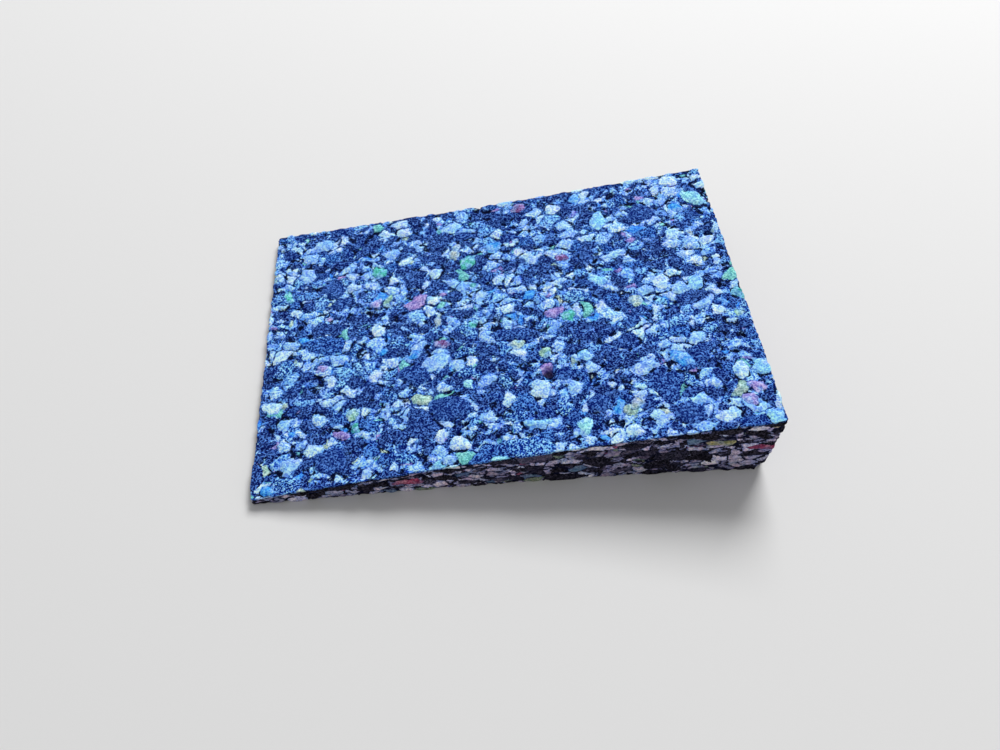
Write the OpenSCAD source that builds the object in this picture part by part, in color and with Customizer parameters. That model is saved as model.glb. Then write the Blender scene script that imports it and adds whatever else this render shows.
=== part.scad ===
// Foam wedge: one block of rebonded chip foam, sawn flat underneath and on a slope above.
// The block stands on z = 0, thin end towards -X and thick end towards +X, centred on Y.
// Each sawn face shows a slice through the same packed chips, so a chip that reaches an edge
// carries on round it.

/* [Wedge] */
// Length from the thin end to the thick end
wedge_length = 150; // [90:1:200]
// Width across the slope
wedge_width = 107; // [60:1:150]
// Height of the thick end
thick_end_height = 25.7; // [14:0.1:40]
// Height of the blunt thin end
thin_end_height = 3; // [2.2:0.1:8]

/* [Sawn sides] */
// How far each long side draws in at its middle
side_draw_in = 1.2; // [0:0.1:3]
// Radius of the upright corners
corner_radius = 1.2; // [0.4:0.1:4]

/* [Chips] */
// Mean size of a chip along and across the block
chip_size = 11; // [9:0.5:20]
// Height of a pressed chip as a share of its size
chip_flatness = 0.55; // [0.4:0.05:1]
// How far chips stray from even rows, as a share of their size
chip_scatter = 0.85; // [0:0.05:0.9]
// Width of the crevice between two chips
crevice_width = 0.9; // [0.4:0.1:1.5]
// Depth of the crevices below the sawn faces
crevice_depth = 0.8; // [0.3:0.1:1.2]
// Smallest slice of a chip that still holds, in square millimetres
smallest_slice = 4; // [1:0.5:8]
// Which random mix of chips the block was pressed from
mix = 3; // [1:1:50]

/* [Wear] */
// How far the crumbs have broken away from the front corner of the thick end, at the base
broken_corner = 3; // [0.5:0.1:6]
// Radius of the pits that lost crumbs have left in the slope
pit_radius = 1.6; // [0.5:0.1:3]

/* [Hidden] */

half_length = wedge_length / 2;
half_width = wedge_width / 2;
rise = thick_end_height - thin_end_height;
slope = atan(rise / wedge_length);
slope_length = norm([wedge_length, rise]);
over = 1; // how far a cutting shape runs past what it cuts
root = 0.5; // how deep a chip is bedded below the crevices
chip_depth = side_draw_in + crevice_depth + root; // of a chip's column below its sawn face
shortest_edge = 0.9; // corners of a chip closer than this are drawn as one
smallest_radius = 0.1; // of a corner that is set in
ball_facets = 20; // round a lost crumb
row_offset = 60; // keeps the numbers of the chips' rows positive
seed_steps = [101, 15013, 1900213]; // keep the seeds of neighbouring chips apart
side_steps = 8; // straight runs along a drawn-in side
corner_steps = 4; // straight runs round a corner
foam_colour = "midnightblue";

// Pits in the slope: distance from the thick end, and from the middle of the width.
pits = [[4, 22], [62, -25], [69, 42]];

// Chip colours, each with the share of chips up to and including it.
tones = [
    ["midnightblue", 0.40],
    ["darkslateblue", 0.52],
    ["slategray", 0.60],
    ["lightsteelblue", 0.80],
    ["aliceblue", 0.91],
    ["mediumseagreen", 0.94],
    ["deepskyblue", 0.96],
    ["khaki", 0.98],
    ["lightpink", 1.00]];

// Faces: corner on the block, turn from flat, directions along the face, size along each.
top_face = [[-half_length, -half_width, thin_end_height], [0, -slope, 0],
            [cos(slope), 0, sin(slope)], [0, 1, 0], slope_length, wedge_width];
front_face = [[-half_length, -half_width, 0], [90, 0, 0],
              [1, 0, 0], [0, 0, 1], wedge_length, thick_end_height];
back_face = [[half_length, half_width, 0], [90, 0, 180],
             [-1, 0, 0], [0, 0, 1], wedge_length, thick_end_height];
thick_face = [[half_length, -half_width, 0], [90, 0, 90],
              [0, 1, 0], [0, 0, 1], wedge_width, thick_end_height];
thin_face = [[-half_length, half_width, 0], [90, 0, -90],
             [0, -1, 0], [0, 0, 1], wedge_width, thin_end_height];
sawn_faces = [top_face, front_face, back_face, thick_face, thin_face];

// Chips are packed in a space where each is one unit long, wide and high, in straying rows.
chip_scale = [chip_size, chip_size, chip_size * chip_flatness];
function to_chips(v) = [v[0] / chip_scale[0], v[1] / chip_scale[1], v[2] / chip_scale[2]];

// Random numbers of the chip in row i, j, k: three for its place and one for its colour.
function luck(i, j, k) =
    rands(0, 1, 4, mix + [i + row_offset, j + row_offset, k + row_offset] * seed_steps);

// Middle of that chip.
function middle(i, j, k) =
    let (r = luck(i, j, k))
    [i + (r[0] - 0.5) * chip_scatter, j + (r[1] - 0.5) * chip_scatter, k + (r[2] - 0.5) * chip_scatter];

// Part of a convex outline on the inner side of the line n * p = c.
function clipped(points, n, c) =
    [for (i = [0:1:len(points) - 1])
        let (a = points[i], b = points[(i + 1) % len(points)],
             da = c - n * a, db = c - n * b)
        each (da >= 0 ? (db >= 0 ? [b] : [a + (b - a) * da / (da - db)])
                      : (db >= 0 ? [a + (b - a) * da / (da - db), b] : []))];

// Lines half way between chip a and its neighbours, on a face, drawn in by half a crevice.
function borders(a, i, j, k, face) =
    let (o = to_chips(face[0]), u = to_chips(face[2]), v = to_chips(face[3]))
    [for (x = [-1:1], y = [-1:1], z = [-1:1])
        if (x != 0 || y != 0 || z != 0)
            let (b = middle(i + x, j + y, k + z),
                 n = 2 * [(b - a) * u, (b - a) * v])
            [n, b * b - a * a - 2 * (b - a) * o - norm(n) * crevice_width / 2]];

// Part of a convex outline on the inner side of all lines.
function clipped_by(points, lines, n = 0) =
    n == len(lines) || len(points) < 3 ? points
    : clipped_by(clipped(points, lines[n][0], lines[n][1]), lines, n + 1);

// Area inside an outline: each side's share times 1, added up as one product of two lists.
function area(points) =
    len(points) < 3 ? 0
    : [for (i = [0:len(points) - 1])
        let (a = points[i], b = points[(i + 1) % len(points)]) (a[0] * b[1] - a[1] * b[0]) / 2]
      * [for (p = points) 1];

// The outline with corners that lie close together drawn as one.
function without_short_edges(points) =
    [for (i = [0:1:len(points) - 1])
        if (norm(points[i] - points[(i + 1) % len(points)]) > shortest_edge) points[i]];

// Slice through the chip in row i, j, k on a face, or nothing where the chip misses it.
function slice(i, j, k, face) =
    let (a = middle(i, j, k),
         u_end = face[4] + over, v_end = face[5] + over,
         sheet = [[-over, -over], [u_end, -over], [u_end, v_end], [-over, v_end]])
    without_short_edges(clipped_by(sheet, borders(a, i, j, k, face)));

// Corners of a face, in chips.
function corners(face) =
    [for (u = [0, face[4]], v = [0, face[5]]) to_chips(face[0] + u * face[2] + v * face[3])];

// Rows of chips that a face can reach along axis n.
function low_row(face, n) = floor(min([for (c = corners(face)) c[n]])) - 1;
function high_row(face, n) = ceil(max([for (c = corners(face)) c[n]])) + 1;

// Distance of a chip from a face, in chips.
function off_face(a, face) =
    let (n = cross(to_chips(face[2]), to_chips(face[3])))
    abs((a - to_chips(face[0])) * n) / norm(n);

// Whether a point lies in the floor of the crevices, or below the base.
function in_floor(p) =
    abs(p[0]) < half_length - crevice_depth
    && abs(p[1]) < half_width - draw_in_at(p[0]) - crevice_depth
    && p[2] < height_at(p[0]) - crevice_depth / cos(slope);

// Whether a slice stands on the floor with one of its corners, so that its chip holds.
function is_bedded(points, face) =
    let (inward = cross(face[3], face[2]))
    len([for (p = points)
        if (in_floor(face[0] + p[0] * face[2] + p[1] * face[3] + chip_depth * inward)) 1]) > 0;

// All slices on a face, each with its colour's number.
function slices(face) =
    [for (i = [low_row(face, 0):high_row(face, 0)],
          j = [low_row(face, 1):high_row(face, 1)],
          k = [low_row(face, 2):high_row(face, 2)])
        if (off_face(middle(i, j, k), face) < 1) // further chips can't reach it
            let (points = slice(i, j, k, face))
            if (area(points) > smallest_slice && is_bedded(points, face))
                [points, tone_of(luck(i, j, k)[3])]];

// Number of the colour that a chance from 0 to 1 gives.
function tone_of(chance, n = 0) =
    chance <= tones[n][1] || n == len(tones) - 1 ? n : tone_of(chance, n + 1);

// Height of the slope at x.
function height_at(x) = thin_end_height + (x + half_length) * tan(slope);

// Distance that a long side has drawn in at x, as a parabola from corner to corner.
function draw_in_at(x) = side_draw_in * (1 - pow(x / half_length, 2));

// Points of one long side from the thin end to the thick end, set in by inset.
function long_side(inset) =
    let (reach = half_length - corner_radius)
    [for (i = [0:side_steps])
        let (x = -reach + 2 * reach * i / side_steps)
        [x, draw_in_at(x) - half_width + inset]];

// Points round the corner between a long side and the thick end, set in by inset.
function thick_corner(inset) =
    let (reach = half_length - corner_radius,
         radius = max(corner_radius - inset, smallest_radius))
    [for (i = [1:corner_steps])
        let (turn = 90 * i / corner_steps)
        [reach + radius * sin(turn),
         draw_in_at(reach) - half_width + inset + radius * (1 - cos(turn))]];

// One quarter of the plan outline follows another by turning the list round and mirroring it.
function mirrored(points, x_sign, y_sign) = [for (p = points) [p[0] * x_sign, p[1] * y_sign]];
function reversed(points) = [for (i = [len(points) - 1:-1:0]) points[i]];

// Outline of the block seen from above, set in by inset.
module plan_outline(inset = 0) {
    front = long_side(inset);
    corner = thick_corner(inset);
    polygon(concat(
        front,
        corner,
        reversed(mirrored(corner, 1, -1)),
        reversed(mirrored(front, 1, -1)),
        mirrored(corner, -1, -1),
        reversed(mirrored(corner, -1, 1))));
}

// Outline of the block seen from its long side, with the slope lowered and the base at z = base.
module side_profile(lower = 0, base = 0) {
    polygon([
        [-half_length, base],
        [half_length, base],
        [half_length, thick_end_height - lower],
        [-half_length, thin_end_height - lower]]);
}

// The block as it was sawn.
module sawn_block() {
    intersection() {
        linear_extrude(thick_end_height + over) plan_outline();
        rotate([90, 0, 0])
            linear_extrude(wedge_width + 2 * over, center = true) side_profile();
    }
}

// The same block as deep as the crevices reach, run on below the base.
module crevice_floor() {
    intersection() {
        translate([0, 0, -over])
            linear_extrude(thick_end_height + 2 * over) plan_outline(crevice_depth);
        rotate([90, 0, 0])
            linear_extrude(wedge_width, center = true)
                side_profile(crevice_depth / cos(slope), -over);
    }
}

// Hollows where crumbs have come away, at one corner and in the slope.
module lost_crumbs() {
    translate([half_length, -half_width, 0]) sphere(broken_corner, $fn = ball_facets);
    for (pit = pits)
        let (x = half_length - pit[0])
        translate([x, pit[1], height_at(x)]) sphere(pit_radius, $fn = ball_facets);
}

// All chips of one colour that show on a face, as short columns square to it.
module chips(slices, face, tone) {
    color(tones[tone][0])
    translate(face[0]) rotate(face[1])
        translate([0, 0, -chip_depth])
            linear_extrude(chip_depth + over)
                for (s = slices)
                    if (s[1] == tone) polygon(s[0]);
}

module foam_wedge() {
    difference() {
        intersection() {
            color(foam_colour) sawn_block();
            union() {
                color(foam_colour) crevice_floor();
                for (face = sawn_faces) {
                    found = slices(face);
                    for (tone = [0:len(tones) - 1]) chips(found, face, tone);
                }
            }
        }
        color(foam_colour) lost_crumbs();
    }
}

foam_wedge();
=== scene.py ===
import math

import bpy
from mathutils import Matrix, Vector


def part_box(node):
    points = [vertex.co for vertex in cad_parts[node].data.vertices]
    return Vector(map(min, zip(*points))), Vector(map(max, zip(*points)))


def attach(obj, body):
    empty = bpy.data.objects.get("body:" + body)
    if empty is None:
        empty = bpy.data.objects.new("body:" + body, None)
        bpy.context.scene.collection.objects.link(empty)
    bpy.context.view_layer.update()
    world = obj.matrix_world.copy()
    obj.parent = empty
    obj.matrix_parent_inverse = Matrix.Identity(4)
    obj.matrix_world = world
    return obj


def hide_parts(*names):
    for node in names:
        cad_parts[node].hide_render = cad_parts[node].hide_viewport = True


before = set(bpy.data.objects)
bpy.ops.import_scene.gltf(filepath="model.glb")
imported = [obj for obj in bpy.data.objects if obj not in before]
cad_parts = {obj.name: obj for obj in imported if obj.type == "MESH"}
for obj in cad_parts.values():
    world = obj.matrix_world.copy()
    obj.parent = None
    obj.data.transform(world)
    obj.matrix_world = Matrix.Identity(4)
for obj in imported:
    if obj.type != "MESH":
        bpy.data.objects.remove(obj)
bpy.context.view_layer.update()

blockLow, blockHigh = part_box("foam_wedge")
mm = 0.001
noiseMean = (0.5, 0.5, 0.5)    # of a noise's or a chip's random colour


class Wire:
    # holds one socket of a node tree; sums with it add Math nodes
    def __init__(self, tree, socket=None):
        self.tree, self.socket = tree, socket

    def add(self, kind, settings=None, inputs=None, output=0):
        node = self.tree.nodes.new(kind)
        for name, value in (settings or {}).items():
            if name == "stops":
                self.setStops(node.color_ramp, value)
            else:
                setattr(node, name, value)
        for key, value in (inputs or {}).items():
            self.join(node, key, value)
        if len(node.outputs) == 0:
            return self
        return Wire(self.tree, self.pick(node.outputs, output))

    def setStops(self, ramp, stops):
        # each colour holds from its own place to the next
        ramp.interpolation = "CONSTANT"
        for place, colour in stops[2:]:
            ramp.elements.new(place)
        for element, (place, colour) in zip(ramp.elements, stops):
            element.position, element.color = place, colour

    def pick(self, sockets, key):
        if isinstance(key, int):
            return sockets[key]
        return next(s for s in sockets if key in (s.identifier, s.name))

    def join(self, node, key, value):
        socket = self.pick(node.inputs, key)
        if isinstance(value, Wire):
            self.tree.links.new(value.socket, socket)
        else:
            socket.default_value = value

    def other(self, output):
        return Wire(self.tree, self.pick(self.socket.node.outputs, output))

    def sum(self, operation, *others):
        # this value in a Math node, with others if the operation takes them
        return self.add("ShaderNodeMath", {"operation": operation}, dict(enumerate((self,) + others)))

    def __add__(self, other):
        return self.sum("ADD", other)

    def __sub__(self, other):
        return self.sum("SUBTRACT", other)

    def __rsub__(self, other):
        return self.sum("MULTIPLY", -1.0).sum("ADD", other)

    def __mul__(self, other):
        return self.sum("MULTIPLY", other)

    def __lt__(self, other):
        return self.sum("LESS_THAN", other)

    def __gt__(self, other):
        return self.sum("GREATER_THAN", other)

    __radd__ = __add__
    __rmul__ = __mul__

    def least(self, other):
        return self.sum("MINIMUM", other)

    def vector(self, operation, other, output=0):
        return self.add("ShaderNodeVectorMath", {"operation": operation}, {0: self, 1: other}, output)

    def scaled(self, factor):
        return self.add("ShaderNodeVectorMath", {"operation": "SCALE"}, {0: self, "Scale": factor})

    def length(self):
        return self.add("ShaderNodeVectorMath", {"operation": "LENGTH"}, {0: self}, "Value")

    def axes(self):
        first = self.add("ShaderNodeSeparateXYZ", inputs={0: self})
        return first, first.other("Y"), first.other("Z")

    def eased(self, low, high, fromValue=0.0, toValue=1.0):
        # smooth step from one value to another as this wire goes from low to high
        return self.add("ShaderNodeMapRange", {"interpolation_type": "SMOOTHSTEP"},
                        {"Value": self, "From Min": low, "From Max": high,
                         "To Min": fromValue, "To Max": toValue})

    def mix(self, start, end):
        # start where this wire is 0, end where it is 1
        return self.add("ShaderNodeMix", {"data_type": "FLOAT"},
                        {"Factor_Float": self, "A_Float": start, "B_Float": end}, "Result_Float")

    def blend(self, start, end, way="MIX"):
        return self.add("ShaderNodeMix", {"data_type": "RGBA", "blend_type": way},
                        {"Factor_Float": self, "A_Color": start, "B_Color": end}, "Result_Color")

    def dyed(self, colour, way="MULTIPLY"):
        # this colour times another, or laid over it in another way
        return self.add("ShaderNodeMix", {"data_type": "RGBA", "blend_type": way},
                        {"Factor_Float": 1.0, "A_Color": self, "B_Color": colour}, "Result_Color")


def paint(code):
    # linear colour of a hex code
    parts = [int(code[i:i + 2], 16) / 255 for i in (0, 2, 4)]
    return tuple(c / 12.92 if c <= 0.04045 else ((c + 0.055) / 1.055) ** 2.4 for c in parts) + (1.0,)


block = {
    "meshPitch": 0.51 * mm,     # spacing of vertices on the sawn faces
    "basePitch": 2.1 * mm,      # wider spacing underneath
    "thinHeight": 3.0 * mm,
    "sideDrawIn": 1.2 * mm,     # how far the long sides draw in at their middles
    "cornerRadius": 1.2 * mm,
    "leastSteps": 3,            # rows of vertices up the lowest side
    "baseFacing": -0.9,         # what points further down than this is the base
    "edgeBlur": 4,              # rows of vertices over which an edge turns from face to face
}
halfLength = (blockHigh.x - blockLow.x) / 2
halfWidth = (blockHigh.y - blockLow.y) / 2
slope = (blockHigh.z - block["thinHeight"]) / (2 * halfLength)


def topHeight(x):
    return block["thinHeight"] + slope * (x + halfLength)


def outlinePlace(u, v):
    # u and v run from -1 to 1 along and across the block
    x, y = u * halfLength, v * halfWidth
    r = block["cornerRadius"]
    overX, overY = abs(x) - (halfLength - r), abs(y) - (halfWidth - r)
    if overX > 0 and overY > 0:
        shrink = max(overX, overY) / math.hypot(overX, overY)
        x = math.copysign(halfLength - r + overX * shrink, x)
        y = math.copysign(halfWidth - r + overY * shrink, y)
    drawIn = block["sideDrawIn"] * (1 - (x / halfLength) ** 2)
    return x, y * (1 - drawIn / halfWidth)


def zipRows(faces, near, far):
    # triangles between two rows of vertices that run the same way
    a = b = 0
    while a < len(near) - 1 or b < len(far) - 1:
        stepNear = b == len(far) - 1 or (
            a < len(near) - 1 and (a + 1) / (len(near) - 1) <= (b + 1) / (len(far) - 1))
        if stepNear:
            faces.append((near[a], near[a + 1], far[b]))
            a += 1
        else:
            faces.append((near[a], far[b + 1], far[b]))
            b += 1


def gridRows(points, columns, rows, height):
    # a grid of vertices over the outline at a height given by height(x)
    made = []
    for j in range(rows + 1):
        line = []
        for i in range(columns + 1):
            x, y = outlinePlace(2 * i / columns - 1, 2 * j / rows - 1)
            line.append(len(points))
            points.append((x, y, height(x)))
        made.append(line)
    return made


def ringOf(grid):
    # the four sides of a grid, counter-clockwise from the thin front corner
    front, back = grid[0], grid[-1][::-1]
    thick, thin = [row[-1] for row in grid], [row[0] for row in grid][::-1]
    return front, thick, back, thin


def makeSawnBlock():
    points, faces = [], []
    columns = round(2 * halfLength / block["meshPitch"])
    rows = round(2 * halfWidth / block["meshPitch"])
    top = gridRows(points, columns, rows, topHeight)
    for low, high in zip(top, top[1:]):
        faces += [(low[i], low[i + 1], high[i + 1], high[i]) for i in range(columns)]
    # upright sides: each column of vertices hangs from the top's edge
    hung = {}
    for side in ringOf(top):
        for corner in side:
            if corner not in hung:
                x, y, z = points[corner]
                steps = max(block["leastSteps"], round(z / block["meshPitch"]))
                hung[corner] = [corner]
                for k in range(1, steps + 1):
                    hung[corner].append(len(points))
                    points.append((x, y, z * (1 - k / steps)))
        for left, right in zip(side, side[1:]):
            zipRows(faces, hung[left], hung[right])
    # flat base: a coarser grid, set in from the sides by one of its cells
    coarseColumns = round(2 * halfLength / block["basePitch"])
    coarseRows = round(2 * halfWidth / block["basePitch"])
    inset = 1 - 2 / coarseColumns
    first = len(points)
    base = gridRows(points, coarseColumns, coarseRows, lambda x: 0.0)
    for n in range(first, len(points)):
        x, y, z = points[n]
        points[n] = (x * inset, y * inset, z)
    for low, high in zip(base, base[1:]):
        faces += [(low[i], high[i], high[i + 1], low[i + 1]) for i in range(coarseColumns)]
    for side, inner in zip(ringOf(top), ringOf(base)):
        zipRows(faces, inner, [hung[corner][-1] for corner in side])
    mesh = bpy.data.meshes.new("foamBlock")
    mesh.from_pydata(points, [], faces)
    mesh.update()
    body = bpy.data.objects.new("foam_block", mesh)
    bpy.context.scene.collection.objects.link(body)
    return body


lens = {
    "place": (-0.0159, -0.1657, 0.2057),
    "yaw": 5.86, "pitch": 53.19, "roll": -1.10,
    "pixels": 800.0,           # focal length in pixels of the render
    "renderWidth": 1000,
    "renderHeight": 750,
    "sensor": 36,              # mm
    "clipStart": 0.01,
}


def lensAxes():
    # which way the lens's right, down and ahead point
    yaw, pitch, roll = (math.radians(lens[k]) for k in ("yaw", "pitch", "roll"))
    ahead = Vector((math.sin(yaw) * math.cos(pitch), math.cos(yaw) * math.cos(pitch), -math.sin(pitch)))
    right = Vector((math.cos(yaw), -math.sin(yaw), 0))
    down = ahead.cross(right)
    turnedRight = math.cos(roll) * right + math.sin(roll) * down
    turnedDown = -math.sin(roll) * right + math.cos(roll) * down
    return turnedRight, turnedDown, ahead


def seenOnSlope(pixelX, pixelY):
    # place along and across the slope that the lens sees at a pixel, mm
    right, down, ahead = lensAxes()
    ray = ahead * lens["pixels"]
    ray += right * (pixelX - lens["renderWidth"] / 2) + down * (pixelY - lens["renderHeight"] / 2)
    eye = Vector(lens["place"])
    reach = (topHeight(eye.x) - eye.z) / (ray.z - slope * ray.x)
    return (eye + ray * reach).xy / mm


def seenStretch(pixelX, pixelY, span, turn):
    # from one end to the other of what spans so many pixels round its middle, mm on the slope
    aside = span / 2 * math.cos(math.radians(turn))
    above = span / 2 * math.sin(math.radians(turn))
    return seenOnSlope(pixelX + aside, pixelY - above) - seenOnSlope(pixelX - aside, pixelY + above)


def snapped(value, step):
    return round(value / step) * step


standouts = {
    "pressed": 0.6,            # height of such a chip as a share of its breadth
    "wobbleSize": 2.6,         # bends in their outlines, mm
    "wobbleReach": 1.2,
    "patchSize": 2.2,          # a tint fades to pale in patches of this size, mm
    "patchRange": (0.40, 0.60),
    "placeStep": 1.0,          # places, sizes and turns snap to these, mm and degrees
    "sizeStep": 0.5,
    "turnStep": 5.0,
    "tints": {                 # colour, and how far it fades
        "green": ("4fc08e", 0.6), "mint": ("9fe6da", 0.5), "lime": ("a4d29a", 0.6),
        "yellow": ("c8dab2", 0.6), "ochre": ("c8d4b4", 0.5), "cyan": ("3a9ee6", 0.6),
        "ice": ("9adcf6", 0.5), "red": ("8e5278", 0.4), "pink": ("b09acb", 0.6),
        "magenta": ("8560c8", 0.5), "white": ("c4e8ff", 0.2), "pale": ("9fcaf6", 0.3),
        "dark": ("0e2c70", 0.0), "sideRed": ("a03c58", 0.3), "sideYellow": ("aaa26a", 0.4),
    },
    # through the lens: pixel of its middle, length and breadth in pixels, turn (degrees), tint
    "onSlope": [
        (467, 262, 17, 14, 60, "green"), (378, 271, 13, 12, 30, "green"), (287, 298, 14, 9, 100, "green"),
        (389, 300, 12.5, 8.5, 80, "lime"), (473, 323, 10, 9, 60, "green"),
        (569, 314, 15, 11, -10, "green"), (544, 353, 15, 12, 10, "lime"),
        (518, 344, 20, 10, 10, "yellow"), (636, 298, 15, 11, -20, "yellow"),
        (693, 197.5, 28, 13, -25, "mint"), (737, 291, 15, 11, 20, "green"),
        (740.5, 311, 14, 8, 0, "lime"), (674, 207, 15, 10, 10, "cyan"), (573, 198.5, 14, 10, 20, "cyan"),
        (683, 357, 28, 12, -18, "cyan"), (617, 406, 19, 10, 80, "cyan"), (727, 301, 13, 8, -5, "cyan"),
        (265, 490, 14, 12, 20, "cyan"), (415, 354, 12, 10, 0, "cyan"), (383, 352, 9, 7, 20, "cyan"),
        (491.5, 247, 16, 10, 0, "cyan"), (438, 342, 20, 9, 0, "red"), (517.5, 208.5, 14, 8, 35, "red"),
        (574, 213, 13, 5, 40, "magenta"), (377, 302, 13, 9, 0, "pink"), (321, 369, 11, 9, 0, "pink"),
        (562, 257, 13, 8, 10, "red"), (328.5, 318.5, 11, 6, 30, "pink"), (352, 414, 13, 12.5, 0, "lime"),
        (354, 427, 11, 8, 90, "green"), (468, 382, 11, 11, 0, "mint"), (498, 460.5, 23, 9, 0, "mint"),
        (586.5, 426, 18, 17, 0, "mint"), (455, 250, 18, 9, 80, "ochre"), (437, 319, 17, 6, 85, "ochre"),
        (638, 403.5, 13, 11, 0, "ochre"), (759, 385, 20, 12, -10, "pink"), (751, 398, 17, 13, 0, "pink"),
        (537, 424.5, 36, 10, 6, "ice"), (740.5, 369, 19, 17, 0, "white"), (763, 367, 21, 19, 0, "ice"),
        (777, 416, 24, 16, 0, "ice"), (729, 411.5, 31, 12, 12, "white"), (436, 361, 29, 18, 20, "pale"),
        (540, 388, 24, 20, 0, "white"), (647, 366, 29, 16, 15, "pale"), (270.5, 407, 20, 12, 0, "white"),
        (308.5, 275, 17, 14, 2, "pale"), (324, 245, 22, 10.5, 5, "pale"), (288, 465, 29, 15, 40, "pale"),
        (550, 284, 29, 8, 22, "white"), (599, 278, 26, 8, -18, "ice"), (440, 466, 27, 8, 20, "mint"),
        (619, 438, 15, 13, 0, "white"), (672, 232.5, 16, 14, -30, "white"),
        (661, 280.5, 17, 16, 0, "white"), (679, 287, 18, 15, 0, "pale"), (626, 181, 20, 7, 0, "white"),
        (436, 274, 13, 13, 0, "white"), (583, 194.5, 10, 12, 0, "white"), (576, 386, 17, 16, 0, "pale"),
        (597, 219, 15, 19, 0, "ice"), (313, 363, 23, 4.5, 55, "pale"), (587, 352, 20, 11, -5, "ice"),
        (697, 282, 17, 15, 0, "ice"),
        (335, 290.5, 20, 17, 0, "dark"), (341, 304, 21, 12, 15, "dark"), (331, 460, 36, 25, 0, "dark"),
        (448, 408, 52, 25, 10, "dark"), (600, 402, 29, 17, 0, "dark"), (692, 412, 30, 24, 0, "dark"),
        (640, 212, 27, 18, 0, "dark"),
    ],
    # place along the near side and up it, length, height, tint
    "onSide": [
        (-30, 5, 9, 3, "sideRed"), (71, 12.5, 8, 2.5, "sideRed"), (58, 15.5, 9, 3, "sideYellow"),
    ],
}


def tintOf(name):
    # the alpha carries how far the tint fades
    code, fade = standouts["tints"][name]
    return paint(code)[:3] + (fade,)


def makeChipSeeds():
    # one loose vertex in the middle of each chip that stands out, with its half sizes, turn and tint
    look = standouts
    places, reaches, turns, tints = [], [], [], []
    for pixelX, pixelY, length, breadth, turn, tint in look["onSlope"]:
        middle = seenOnSlope(pixelX, pixelY)
        along = seenStretch(pixelX, pixelY, length, turn)
        across = seenStretch(pixelX, pixelY, breadth, turn - 90)
        x, y = (snapped(v, look["placeStep"]) for v in middle)
        length, breadth = (snapped(v.length, look["sizeStep"]) for v in (along, across))
        turn = snapped(math.degrees(math.atan2(along.y, along.x)), look["turnStep"])
        places.append((x * mm, y * mm, topHeight(x * mm)))
        reaches.append((length / 2, breadth / 2, breadth / 2 * look["pressed"]))
        turns.append(math.radians(turn))
        tints.append(tintOf(tint))
    for x, z, length, height, tint in look["onSide"]:
        places.append((x * mm, outlinePlace(x * mm / halfLength, -1)[1], z * mm))
        reaches.append((length / 2, length / 3, height / 2))
        turns.append(0.0)
        tints.append(tintOf(tint))
    mesh = bpy.data.meshes.new("chipSeeds")
    mesh.from_pydata(places, [], [])
    for name, kind, key, values in (
            ("reach", "FLOAT_VECTOR", "vector", reaches),
            ("turn", "FLOAT", "value", turns),
            ("tint", "FLOAT_COLOR", "color", tints)):
        held = mesh.attributes.new(name, kind, "POINT")
        for item, value in zip(held.data, values):
            setattr(item, key, value)
    seeds = bpy.data.objects.new("chip_seeds", mesh)
    bpy.context.scene.collection.objects.link(seeds)
    return seeds


chipMix = {
    "pressedHeight": 0.58,     # height of a chip as a share of its breadth
    "stretch": 1.2,            # length along the block as a share of its breadth
    "largeSize": 8.5,          # sizes and depths in mm
    "largeShare": 0.09,
    "largeTone": 0.46,         # the largest chips are dark: their tones end here
    "mediumSize": 4.3,
    "mediumShare": 0.76,
    "crumbSize": 1.9,
    "crumbTone": 0.85,         # tones of crumbs that lie together end here
    "matrixTone": 0.55,        # tones of crumbs round a larger chip end here
    "plainShare": 0.945,       # crumbs beyond this share may be coloured
    "matrixWidth": 0.22,       # crumbs fill this much round each larger chip
    "largeSeed": (31.0, 7.0, 3.0),        # a seed is a place in an endless pattern
    "mediumSeed": (5.0, 53.0, 11.0),
    "crumbSeed": (71.0, 19.0, 29.0),
    "crackSeed": (17.0, 3.0, 41.0),
    "swirlSize": 6.0,          # long bends that stretch chips one way or another
    "swirlReach": 1.9,
    "tearSize": 1.1,           # short tears along their outlines
    "tearReach": 0.42,
    "standoutTear": 0.8,       # share of the tears that a chip that stands out has
    "crackPatch": 3.2,         # size of the patches where chips have come apart
    "crackRange": (0.48, 0.66),
    "crackWidth": 0.46,
    "creviceDepth": 0.55,
    "creviceWall": (-0.35, 0.90),         # from the floor to the top of a chip, from its outline
    "chipSink": 0.18,          # how far a chip may lie below the sawn face
    "pitDepth": 0.8,
    "pitShare": 0.05,
    "pitWall": (0.1, 0.4),
}


def noiseAt(place, size, detail=1.0, output="Color"):
    return place.add("ShaderNodeTexNoise", {"noise_dimensions": "3D"},
                     {"Vector": place, "Scale": 1 / size, "Detail": detail}, output)


def wander(place, size, reach, detail):
    # shifts a place by up to about reach, in bends of about size
    return noiseAt(place, size, detail).vector("SUBTRACT", noiseMean).scaled(2 * reach)


def chipLayer(place, size, seed):
    # gives the distance inside a chip from its outline, mm, and three random numbers of the chip
    moved = place.vector("ADD", seed)
    settings = {"voronoi_dimensions": "3D", "feature": "F1"}
    near = place.add("ShaderNodeTexVoronoi", settings, {"Vector": moved, "Scale": 1 / size}, "Distance")
    luck = near.other("Color").axes()
    settings = {"voronoi_dimensions": "3D", "feature": "DISTANCE_TO_EDGE"}
    edge = place.add("ShaderNodeTexVoronoi", settings, {"Vector": moved, "Scale": 1 / size}, "Distance")
    return edge * size, luck


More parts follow.
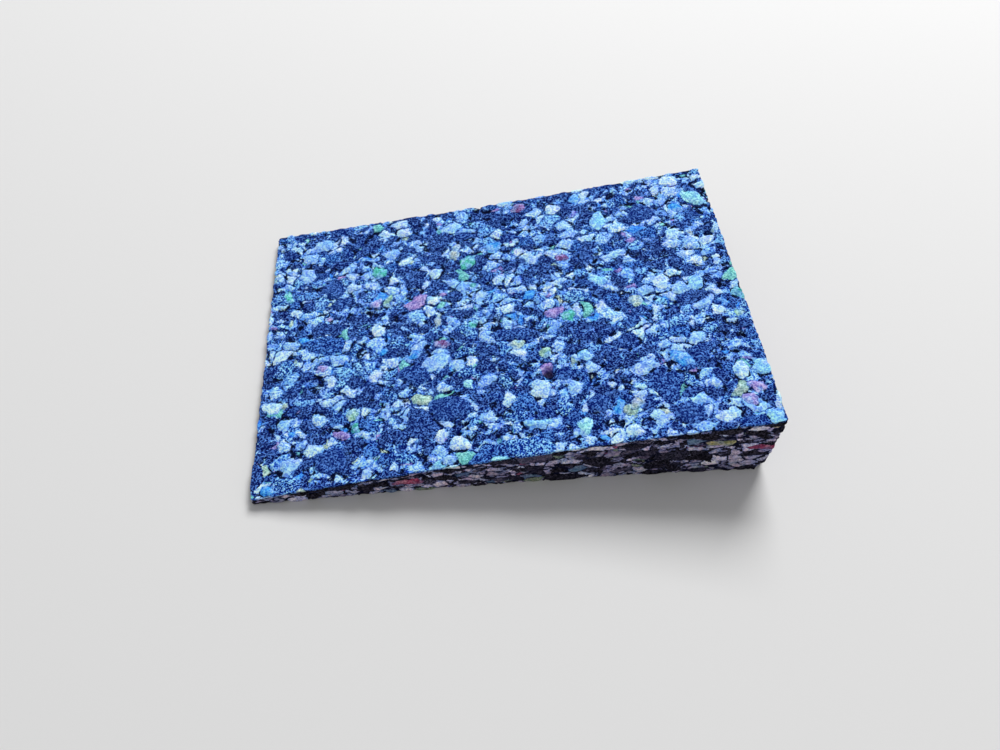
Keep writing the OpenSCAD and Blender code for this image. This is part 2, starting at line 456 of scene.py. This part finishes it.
def chipField(place, standout):
    # place is in mm on the block, and standout is mm inside a chip that stands out
    look = chipMix
    tear = wander(place, look["tearSize"], look["tearReach"], detail=2.0)
    bend = wander(place, look["swirlSize"], look["swirlReach"], detail=1.0).vector("ADD", tear)
    bent = place.vector("ADD", bend.vector("MULTIPLY", (1, 1, look["pressedHeight"])))
    pressed = bent.vector("MULTIPLY", (1 / look["stretch"], 1, 1 / look["pressedHeight"]))
    largeRim, largeLuck = chipLayer(pressed, look["largeSize"], look["largeSeed"])
    mediumRim, mediumLuck = chipLayer(pressed, look["mediumSize"], look["mediumSeed"])
    crumbRim, crumbLuck = chipLayer(pressed, look["crumbSize"], look["crumbSeed"])
    largeRim, mediumRim = largeRim - look["matrixWidth"], mediumRim - look["matrixWidth"]
    isLarge = (largeLuck[0] < look["largeShare"]) * (largeRim > 0)
    isMedium = (mediumLuck[0] < look["mediumShare"]) * (mediumRim > 0)
    rim = isLarge.mix(isMedium.mix(crumbRim, mediumRim), largeRim)
    # between chips the crumbs are mostly dark, and so are the largest chips
    betweenTone = (mediumLuck[0] < look["mediumShare"]).mix(look["crumbTone"], look["matrixTone"])
    between = crumbLuck[1] * betweenTone
    between = (crumbLuck[1] > look["plainShare"]).mix(between, crumbLuck[1])
    tone = isLarge.mix(isMedium.mix(between, mediumLuck[1]), largeLuck[1] * look["largeTone"])
    shade = isLarge.mix(isMedium.mix(crumbLuck[2], mediumLuck[2]), largeLuck[2])
    # a chip that stands out takes the place of what lies there
    frayed = standout + tear.axes()[0] * look["standoutTear"]
    isStandout = frayed > 0
    rim = isStandout.mix(rim.least(0 - frayed), frayed)
    # a crevice opens only in patches, and here and there a crumb is gone
    crack = noiseAt(place.vector("ADD", look["crackSeed"]), look["crackPatch"], output="Fac")
    gap = rim - crack.eased(*look["crackRange"]) * look["crackWidth"]
    pit = (crumbLuck[0] < look["pitShare"]) * (1 - isLarge) * (1 - isMedium) * (1 - isStandout)
    pit = pit * crumbRim.eased(*look["pitWall"])
    return {"rim": rim, "gap": gap, "tone": tone, "shade": shade, "pit": pit, "isStandout": isStandout}


wear = {
    "cornerReach": 3.0,        # crumbs gone from the near corner of the thick end, at the base, mm
    "pitReach": 1.8,
    "raggedSize": 1.6,         # bends in the rim of what is gone
    "raggedReach": 1.0,
    "pits": [(71, 22), (13, -25), (6, 42)],   # places on the slope, mm
}


def loseCrumbs(shape, middle, reach, inward):
    # pushes what lies nearer to middle than reach inward, onto a ball
    sawn = shape.add("GeometryNodeInputPosition")
    away = sawn.vector("SUBTRACT", middle).scaled(1 / mm)
    ragged = wander(sawn.scaled(1 / mm), wear["raggedSize"], wear["raggedReach"], detail=0.0)
    away = away.vector("ADD", ragged)
    deep = away.vector("DOT_PRODUCT", inward, "Value")
    far = away.length()
    push = (deep * deep - far * far + reach * reach).sum("SQRT") - deep
    push = push * (far < reach) * mm
    offset = shape.add("ShaderNodeVectorMath", {"operation": "SCALE"}, {0: inward, "Scale": push})
    return shape.add("GeometryNodeSetPosition", inputs={"Geometry": shape, "Offset": offset})


def makeReliefTree():
    tree = bpy.data.node_groups.new("chipRelief", "GeometryNodeTree")
    face = tree.interface
    face.new_socket("Geometry", in_out="INPUT", socket_type="NodeSocketGeometry")
    face.new_socket("Chip Seeds", in_out="INPUT", socket_type="NodeSocketObject")
    face.new_socket("Crevice Depth", in_out="INPUT", socket_type="NodeSocketFloat")
    face.new_socket("Chip Sink", in_out="INPUT", socket_type="NodeSocketFloat")
    face.new_socket("Pit Depth", in_out="INPUT", socket_type="NodeSocketFloat")
    face.new_socket("Foam", in_out="INPUT", socket_type="NodeSocketMaterial")
    face.new_socket("Geometry", in_out="OUTPUT", socket_type="NodeSocketGeometry")
    start = Wire(tree).add("NodeGroupInput", output="Geometry")
    position = start.add("GeometryNodeInputPosition")
    place = position.scaled(1 / mm)

    # distance inside the nearest chip that stands out
    seeds = start.add("GeometryNodeObjectInfo",
                      inputs={"Object": start.other("Chip Seeds")}, output="Geometry")
    nearest = start.add("GeometryNodeSampleNearest", {"domain": "POINT"},
                        {"Geometry": seeds, "Sample Position": position})

    def seedValue(kind, value):
        return start.add("GeometryNodeSampleIndex", {"data_type": kind, "domain": "POINT"},
                         {"Geometry": seeds, "Value": value, "Index": nearest})

    def seedAttribute(name, kind):
        held = start.add("GeometryNodeInputNamedAttribute", {"data_type": kind}, {"Name": name})
        return seedValue(kind, held)

    middle = seedValue("FLOAT_VECTOR", start.add("GeometryNodeInputPosition"))
    reach = seedAttribute("reach", "FLOAT_VECTOR")
    turn = seedAttribute("turn", "FLOAT")
    tint = seedAttribute("tint", "FLOAT_COLOR")
    away = position.vector("SUBTRACT", middle).scaled(1 / mm)
    away = away.vector("ADD", wander(place, standouts["wobbleSize"], standouts["wobbleReach"], detail=0.0))
    turned = start.add("ShaderNodeVectorRotate", {"rotation_type": "Z_AXIS"},
                       {"Vector": away, "Angle": 0 - turn})
    across = reach.axes()[1]
    standout = (1 - turned.vector("DIVIDE", reach).length()) * across

    def stored(shape, name, kind, value):
        return start.add("GeometryNodeStoreNamedAttribute", {"data_type": kind, "domain": "POINT"},
                         {"Geometry": shape, "Name": name, "Value": value})

    # crumbs that have come away from the sawn faces, at the corner and in the slope
    kept = stored(start, "facePlace", "FLOAT_VECTOR", position)
    nearCorner = Vector((halfLength, -halfWidth, 0))
    kept = loseCrumbs(kept, nearCorner, wear["cornerReach"], Vector((-1, 1, 1)).normalized())
    for x, y in wear["pits"]:
        middle = Vector((x * mm, y * mm, topHeight(x * mm)))
        kept = loseCrumbs(kept, middle, wear["pitReach"], Vector((slope, 0, -1)).normalized())
    # the places in the foam that show now, and the chips there, for the material to follow
    kept = stored(kept, "foamPlace", "FLOAT_VECTOR", position)
    kept = stored(kept, "standout", "FLOAT", standout)
    kept = stored(kept, "standoutTint", "FLOAT_COLOR", tint)
    field = chipField(place, standout)
    whole = field["gap"].eased(*chipMix["creviceWall"])
    height = (whole - 1) * start.other("Crevice Depth")
    height = height - whole * field["shade"] * start.other("Chip Sink")
    height = height - field["pit"] * start.other("Pit Depth")
    # the flat base stays as sawn, and near an edge the crevices run aslant, clear of each other
    outward = start.add("GeometryNodeInputNormal")
    height = height * (outward.axes()[2] > block["baseFacing"]) * mm
    outward = start.add("GeometryNodeBlurAttribute", {"data_type": "FLOAT_VECTOR"},
                        {"Value": outward, "Iterations": block["edgeBlur"]})
    outward = outward.add("ShaderNodeVectorMath", {"operation": "NORMALIZE"}, {0: outward})
    moved = start.add("GeometryNodeSetPosition", inputs={
        "Geometry": kept, "Offset": outward.scaled(height)})
    real = start.add("GeometryNodeRealizeInstances", inputs={"Geometry": moved})
    painted = start.add("GeometryNodeSetMaterial", inputs={
        "Geometry": real, "Material": start.other("Foam")})
    start.add("NodeGroupOutput", inputs={0: painted})
    return tree


def applyTree(body, tree, values):
    # run a tree on an object and keep the result as its plain mesh
    modifier = body.modifiers.new(tree.name, "NODES")
    modifier.node_group = tree
    for item in tree.interface.items_tree:
        if item.in_out == "INPUT" and item.name in values:
            modifier[item.identifier] = values[item.name]
    depsgraph = bpy.context.evaluated_depsgraph_get()
    made = bpy.data.meshes.new_from_object(body.evaluated_get(depsgraph), preserve_all_data_layers=True,
                                           depsgraph=depsgraph)
    body.modifiers.remove(modifier)
    body.data = made


foamLook = {
    "roughness": 0.95,
    "specular": 0.05,
    "cellSize": 0.68,          # open cells of the foam, mm
    "cellRange": (0.36, 0.56),            # from the middle of a cell to its strut
    "cellShare": 0.4,          # of a strut's brightness, where the rest is its grain's
    "grainSize": 0.36,
    "strutRange": (0.15, 0.85),
    "bumpStrength": 0.5,
    "bumpReach": 0.3,          # mm
    # on the slope and on the sides, how far grains fray (mm) and mix into chips of other tones
    "fray": 0.10, "sideFray": 0.04,
    "mottle": 0.14, "sideMottle": 0.02,
    "mottleEnd": 0.85,         # chips of a tone beyond this stay unmixed
    # what a pore leaves of the chip's colour, what a strut makes of it, and the glint laid over it; on the
    # slope they are bluer with painted cool light, on the sides greyer as in warmer shade
    "pore": (0.49, 0.57, 0.90, 1), "sidePore": (0.62, 0.62, 0.66, 1),
    "strut": (1.22, 1.18, 1.14, 1), "sideStrut": (1.20, 1.18, 1.18, 1),
    "glint": (0.095, 0.240, 0.700, 1), "sideGlint": (0.045, 0.040, 0.060, 1),
    "glintRange": (0.50, 1.00),
    "glintBlotches": (0.45, 1.25),        # weakest and strongest, by blotch
    "pale": "a8d4fa", "sidePale": "b0a6b8",          # what a tint fades to, bluer on the slope with painted cool light
    "shades": ((0.76, 0.85, 1.00, 1), (1.10, 1.12, 1.12, 1)),     # darkest and lightest chip of a kind
    "blotchSize": 1.5,         # mm
    "blotchRange": (0.34, 0.66),
    "blotches": ((0.70, 0.82, 1.00, 1), (1.16, 1.14, 1.14, 1)),
    "hueSize": 3.6,            # patches of slightly other colour, mm
    "hueReach": (0.55, 0.38, 0.12),
    "rimWidth": 0.4,           # mm
    "rimShade": (0.46, 0.58, 0.82, 1),    # what is left of a chip's colour at its outline
    "hollow": "020828",        # deep in the crevices
    "hollowRange": (-0.35, 0.0),          # from dark to lit, mm inside a chip
    "sunkRange": (0.9, 2.0),   # from lit to dim, mm below the sawn face
    "sunkLight": 0.15,
    "sideRange": (0.35, 0.8),  # from the slope's colours in painted cool light to the sides' greyer ones, mm below the slope
}
# share of the chips at which each tone starts, and its colour on the slope and on the sides; the slope's
# colours are bluer with painted cool light, the sides' greyer as in warmer shade
tones = [
    (0.00, "021656", "0c0a12"), (0.20, "042068", "16141e"), (0.35, "0a3680", "2a2634"),
    (0.42, "2c64c0", "564e5e"), (0.47, "80bcff", "9a8c9d"), (0.56, "a8d4ff", "c8b7c4"),
    (0.78, "c8e8ff", "f0dee6"), (0.955, "7ccfb4", "8e9478"), (0.967, "46a0f0", "6d8096"),
    (0.978, "bcd4a8", "b0a478"), (0.987, "ac8cc0", "9c5468"),
]


def makeFoam():
    look = foamLook
    foam = bpy.data.materials.new("chipFoam")
    foam.use_nodes = True
    tree = foam.node_tree
    tree.nodes.clear()
    start = Wire(tree)
    foamPlace = start.add("ShaderNodeAttribute", {"attribute_name": "foamPlace"}, output="Vector")
    place = foamPlace.scaled(1 / mm)
    facePlace = start.add("ShaderNodeAttribute", {"attribute_name": "facePlace"}, output="Vector")
    standout = start.add("ShaderNodeAttribute", {"attribute_name": "standout"}, output="Fac")
    tint = start.add("ShaderNodeAttribute", {"attribute_name": "standoutTint"}, output="Color")
    # open cells: bright struts round dark pores, and grains of odd brightness
    grain = start.add("ShaderNodeTexVoronoi", {"voronoi_dimensions": "3D", "feature": "F1"},
                      {"Vector": place, "Scale": 1 / look["grainSize"]}, "Color")
    pore = start.add("ShaderNodeTexVoronoi", {"voronoi_dimensions": "3D", "feature": "F1"},
                     {"Vector": place, "Scale": 1 / look["cellSize"]}, "Distance").eased(*look["cellRange"])
    strut = pore * look["cellShare"] + grain.axes()[0] * (1 - look["cellShare"])
    strut = strut.eased(*look["strutRange"])
    # painted light: the slope's chips are bluer with the cool light that falls on it, the sides' and the
    # base's greyer as in warmer shade
    along, across, up = facePlace.scaled(1 / mm).axes()
    below = along * slope + (topHeight(0) / mm) - up
    onSide = below.eased(*look["sideRange"])
    # grain by grain, one chip frays into the next
    fray = grain.vector("SUBTRACT", noiseMean).scaled(onSide.mix(2 * look["fray"], 2 * look["sideFray"]))
    field = chipField(place.vector("ADD", fray), standout + fray.axes()[1])
    # chips of a middling kind are a mixture of dark and pale cells
    mottle = (strut - 0.5) * onSide.mix(look["mottle"], look["sideMottle"])
    tone = field["tone"] + mottle * (field["tone"] < look["mottleEnd"])
    slopeStopsInCoolLight = [(share, paint(code)) for share, code, side in tones]
    sideStopsInWarmShade = [(share, paint(side)) for share, code, side in tones]
    slopeToneInCoolLight = start.add("ShaderNodeValToRGB", {"stops": slopeStopsInCoolLight}, {"Fac": tone})
    sideToneInWarmShade = start.add("ShaderNodeValToRGB", {"stops": sideStopsInWarmShade}, {"Fac": tone})
    chip = onSide.blend(slopeToneInCoolLight, sideToneInWarmShade)
    # a chip that stands out keeps its tint in patches
    patch = noiseAt(place, standouts["patchSize"], output="Fac").eased(*standouts["patchRange"])
    pale = onSide.blend(paint(look["pale"]), paint(look["sidePale"]))
    chip = field["isStandout"].blend(chip, (patch * tint.other("Alpha")).blend(tint, pale))
    # chips of one kind differ a little, and each is blotched
    chip = chip.dyed(field["shade"].blend(*look["shades"]))
    blotch = noiseAt(place, look["blotchSize"], output="Fac").eased(*look["blotchRange"])
    chip = chip.dyed(blotch.blend(*look["blotches"]))
    hue = noiseAt(place, look["hueSize"]).vector("SUBTRACT", noiseMean)
    chip = chip.dyed(hue.vector("MULTIPLY", look["hueReach"]).vector("ADD", (1, 1, 1)))
    chip = chip.dyed(field["rim"].eased(0.0, look["rimWidth"]).blend(look["rimShade"], (1, 1, 1, 1)))
    dark = chip.dyed(onSide.blend(look["pore"], look["sidePore"]))
    chip = strut.blend(dark, chip.dyed(onSide.blend(look["strut"], look["sideStrut"])))
    glint = onSide.blend(look["glint"], look["sideGlint"])
    gleam = strut.eased(*look["glintRange"]) * blotch.mix(*look["glintBlotches"])
    chip = gleam.blend(chip, chip.dyed(glint, "SCREEN"))
    # less light reaches into a crevice
    here = start.add("ShaderNodeTexCoord", output="Object")
    sunk = here.vector("SUBTRACT", facePlace).length() * (1 / mm)
    lit = field["gap"].eased(*look["hollowRange"]) * (1 - field["pit"])
    lit = lit * sunk.eased(*look["sunkRange"], 1.0, look["sunkLight"])
    colour = lit.add("ShaderNodeMix", {"data_type": "RGBA", "clamp_result": True},
                     {"Factor_Float": lit, "A_Color": paint(look["hollow"]), "B_Color": chip},
                     "Result_Color")
    bump = start.add("ShaderNodeBump", inputs={
        "Strength": look["bumpStrength"], "Distance": look["bumpReach"] * mm, "Height": strut})
    skin = start.add("ShaderNodeBsdfPrincipled", inputs={
        "Base Color": colour, "Roughness": look["roughness"],
        "Specular IOR Level": look["specular"], "Normal": bump})
    start.add("ShaderNodeOutputMaterial", inputs={"Surface": skin})
    return foam


studio = {
    "floorReach": 3.0,         # half its side, m
    "floorColour": (0.76, 0.76, 0.76, 1),
    "floorRoughness": 0.9,
    "skyStrength": 0.345,
    "backdrop": 0.78,          # how pale the backdrop looks, where 1 is white
    "fadeStart": 0.5,          # the floor fades into it between these distances, m
    "fadeEnd": 1.4,
    "keyPlace": (0.525, 1.08, 1.23),
    "keySize": 0.825,
    "keyPower": 29.0,
}


def seenDirectly(start):
    # 1 for what the camera sees, 0 for light on its way to the foam
    ray = start.add("ShaderNodeLightPath", output="Is Camera Ray")
    return (ray + ray.other("Is Glossy Ray") + ray.other("Is Transmission Ray")) > 0


def makeFloor():
    mesh = bpy.data.meshes.new("floor")
    r = studio["floorReach"]
    mesh.from_pydata([(-r, -r, 0), (r, -r, 0), (r, r, 0), (-r, r, 0)], [], [(0, 1, 2, 3)])
    floor = bpy.data.objects.new("floor", mesh)
    bpy.context.scene.collection.objects.link(floor)
    plain = bpy.data.materials.new("plainFloor")
    plain.use_nodes = True
    plain.node_tree.nodes.clear()
    start = Wire(plain.node_tree)
    near = start.add("ShaderNodeBsdfPrincipled", inputs={
        "Base Color": studio["floorColour"], "Roughness": studio["floorRoughness"]})
    # far off, the floor fades into the backdrop
    far = start.add("ShaderNodeEmission", inputs={"Strength": studio["backdrop"]})
    away = start.add("ShaderNodeTexCoord", output="Object").length()
    fade = away.eased(studio["fadeStart"], studio["fadeEnd"]) * seenDirectly(start)
    both = start.add("ShaderNodeMixShader", inputs={0: fade, 1: near, 2: far})
    start.add("ShaderNodeOutputMaterial", inputs={"Surface": both})
    mesh.materials.append(plain)


def makeLights():
    world = bpy.data.worlds.new("studio")
    world.use_nodes = True
    back = world.node_tree.nodes["Background"]
    back.inputs["Color"].default_value = (1, 1, 1, 1)
    start = Wire(world.node_tree)
    start.join(back, "Strength", seenDirectly(start).mix(studio["skyStrength"], studio["backdrop"]))
    bpy.context.scene.world = world
    lamp = bpy.data.lights.new("key", "AREA")
    lamp.energy, lamp.size = studio["keyPower"], studio["keySize"]
    key = bpy.data.objects.new("key", lamp)
    key.location = studio["keyPlace"]
    key.rotation_euler = (-key.location).to_track_quat("-Z", "Y").to_euler()
    bpy.context.scene.collection.objects.link(key)


def makeCamera():
    right, down, ahead = lensAxes()
    data = bpy.data.cameras.new("camera")
    data.sensor_width = lens["sensor"]
    data.lens = lens["sensor"] * lens["pixels"] / lens["renderWidth"]
    data.clip_start = lens["clipStart"]
    camera = bpy.data.objects.new("camera", data)
    camera.matrix_world = Matrix.Translation(lens["place"]) @ Matrix(
        (right, -down, -ahead)).transposed().to_4x4()
    bpy.context.scene.collection.objects.link(camera)
    bpy.context.scene.camera = camera


foam = makeFoam()
body = makeSawnBlock()
print("block sawn:", len(body.data.vertices), "vertices")
seeds = makeChipSeeds()
applyTree(body, makeReliefTree(), {
    "Chip Seeds": seeds,
    "Crevice Depth": chipMix["creviceDepth"],
    "Chip Sink": chipMix["chipSink"],
    "Pit Depth": chipMix["pitDepth"],
    "Foam": foam,
})
bpy.data.objects.remove(seeds)
for face in body.data.polygons:
    face.use_smooth = True
print("chips pressed in:", sum(len(f.vertices) - 2 for f in body.data.polygons), "triangles")

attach(body, "root")
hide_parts("foam_wedge")

makeFloor()
makeLights()
makeCamera()
bpy.context.scene.view_settings.view_transform = "Standard"
print("studio set")
